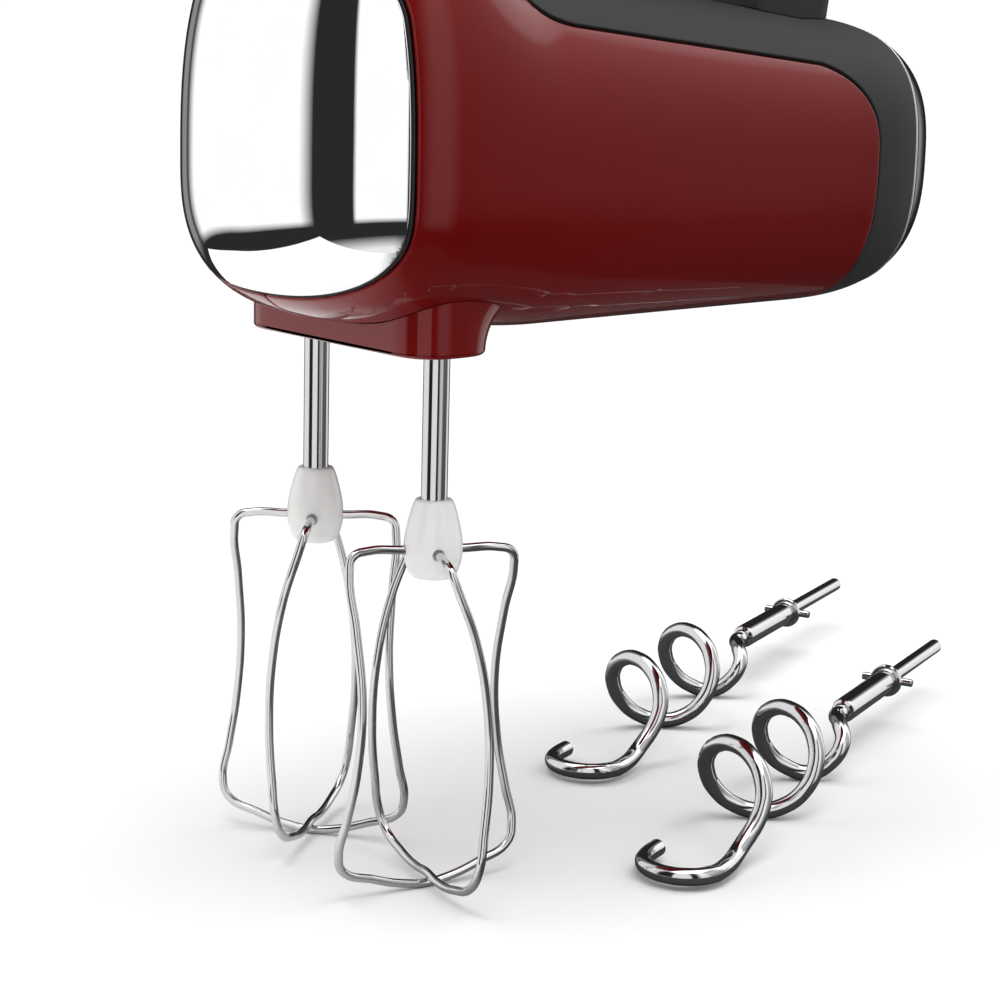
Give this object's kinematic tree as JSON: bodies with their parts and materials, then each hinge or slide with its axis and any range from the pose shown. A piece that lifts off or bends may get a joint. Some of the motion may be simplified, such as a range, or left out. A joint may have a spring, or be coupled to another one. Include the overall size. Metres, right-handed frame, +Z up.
{
  "type": "hand mixer",
  "caption": "Hand-held kitchen mixer: red body with chrome nose, dark loop handle, geared motor, ejecting wire beaters and loose dough hooks.",
  "frame": {"origin": "the middle of the grip, inside the handle's bar, where a hand holds the mixer up", "axes": "+X from the nose to the heel, +Y towards the mixer's right side, +Z up from the beaters to the handle"},
  "size_m": [0.2833, 0.1411, 0.2514],
  "materials": {
    "red_shell": "deep wine red with a fine metallic fleck under a clear gloss",
    "chrome": "mirror plated",
    "satin_black": "satin, fine moulded grain",
    "gloss_black": "polished",
    "rubber": "dull",
    "silver_trim": "satin silver",
    "button_grey": "satin silver grey",
    "nylon": "natural, unpolished",
    "spring_steel": "drawn wire",
    "screw_steel": "zinc plated",
    "sintered_bronze": "porous, oil filled",
    "motor_iron": "stacked sheets, lacquered",
    "copper": "enamelled winding",
    "carbon": "pressed carbon",
    "board": "green laminate",
    "tool_steel": "polished stainless wire and bar",
    "white_plastic": "smooth moulded white"
  },
  "bodies": {
    "housing": {"left_housing": "red_shell", "right_housing": "red_shell", "upper_housing": "satin_black", "seam_trim": "silver_trim", "rear_cap": "gloss_black", "nose_cover": "chrome", "nose_gasket": "rubber", "socket_plinth": "red_shell", "handle_lower": "satin_black", "handle_cover": "satin_black", "cord_inlet": "rubber", "housing_screw_front": "screw_steel", "housing_screw_rear": "screw_steel", "handle_screw_front": "screw_steel", "handle_screw_rear": "screw_steel", "eject_spring": "spring_steel", "turbo_spring": "spring_steel", "speed_switch": "nylon", "control_board": "board", "suppression_capacitor": "nylon", "gear_frame": "nylon", "front_bearing": "screw_steel", "rear_bearing": "screw_steel", "rear_bearing_bracket": "nylon", "stator_core": "motor_iron", "left_field_coil": "copper", "left_brush": "carbon", "left_brush_holder": "nylon", "left_spindle_bush": "sintered_bronze", "right_field_coil": "copper", "right_brush": "carbon", "right_brush_holder": "nylon", "right_spindle_bush": "sintered_bronze"},
    "motor": {"motor_shaft": "screw_steel", "armature_core": "motor_iron", "commutator": "copper", "cooling_fan": "nylon"},
    "left_spindle": {"left_worm_wheel": "nylon", "left_spindle": "screw_steel"},
    "right_spindle": {"right_worm_wheel": "nylon", "right_spindle": "screw_steel"},
    "left_beater": {"left_beater_shaft": "tool_steel", "left_beater_hub": "white_plastic", "left_beater_wire_a": "tool_steel", "left_beater_wire_b": "tool_steel"},
    "right_beater": {"right_beater_shaft": "tool_steel", "right_beater_hub": "white_plastic", "right_beater_wire_a": "tool_steel", "right_beater_wire_b": "tool_steel"},
    "ejector": {"eject_button": "button_grey", "ejector": "nylon"},
    "turbo": {"turbo_button": "button_grey"},
    "speed": {"speed_slider": "button_grey"},
    "left_hook": {"left_hook_bar": "tool_steel", "left_hook_sleeve": "tool_steel", "left_hook_collar": "tool_steel"},
    "right_hook": {"right_hook_bar": "tool_steel", "right_hook_sleeve": "tool_steel", "right_hook_collar": "tool_steel"}
  },
  "joints": [
    {"name": "motor_spin", "type": "hinge", "parent": "housing", "child": "motor", "pos_m": [0.002, 0, -0.081], "axis": [1, 0, 0], "continuous": true},
    {"name": "left_spindle_spin", "type": "hinge", "parent": "housing", "child": "left_spindle", "pos_m": [-0.058, -0.021, -0.081], "axis": [0, 0, 1], "continuous": true},
    {"name": "right_spindle_spin", "type": "hinge", "parent": "housing", "child": "right_spindle", "pos_m": [-0.058, 0.021, -0.081], "axis": [0, 0, 1], "continuous": true},
    {"name": "left_beater_eject", "type": "slide", "parent": "left_spindle", "child": "left_beater", "axis": [0, 0, -1], "range_m": [0, 0.048]},
    {"name": "right_beater_eject", "type": "slide", "parent": "right_spindle", "child": "right_beater", "axis": [0, 0, -1], "range_m": [0, 0.048]},
    {"name": "eject_press", "type": "slide", "parent": "housing", "child": "ejector", "axis": [0, 0, -1], "range_m": [0, 0.006], "stiffness_N_per_m": 500, "springref_m": -0.03, "deforming": ["eject_spring"]},
    {"name": "turbo_press", "type": "slide", "parent": "housing", "child": "turbo", "axis": [0, 0, -1], "range_m": [0, 0.003], "stiffness_N_per_m": 400, "springref_m": -0.004, "deforming": ["turbo_spring"]},
    {"name": "speed_slide", "type": "slide", "parent": "housing", "child": "speed", "axis": [1, 0, 0], "range_m": [0, 0.014]},
    {"name": "left_hook_lift", "type": "slide", "parent": "housing", "child": "left_hook", "axis": [0, 0, 1], "range_m": [0, 0.06]},
    {"name": "right_hook_lift", "type": "slide", "parent": "housing", "child": "right_hook", "axis": [0, 0, 1], "range_m": [0, 0.06]}
  ],
  "couplings": [
    {"joint": "left_spindle_spin", "follows": "motor_spin", "ratio": 0.083333},
    {"joint": "right_spindle_spin", "follows": "motor_spin", "ratio": -0.083333},
    {"joint": "left_beater_eject", "follows": "eject_press", "ratio": 8},
    {"joint": "right_beater_eject", "follows": "eject_press", "ratio": 8}
  ]
}
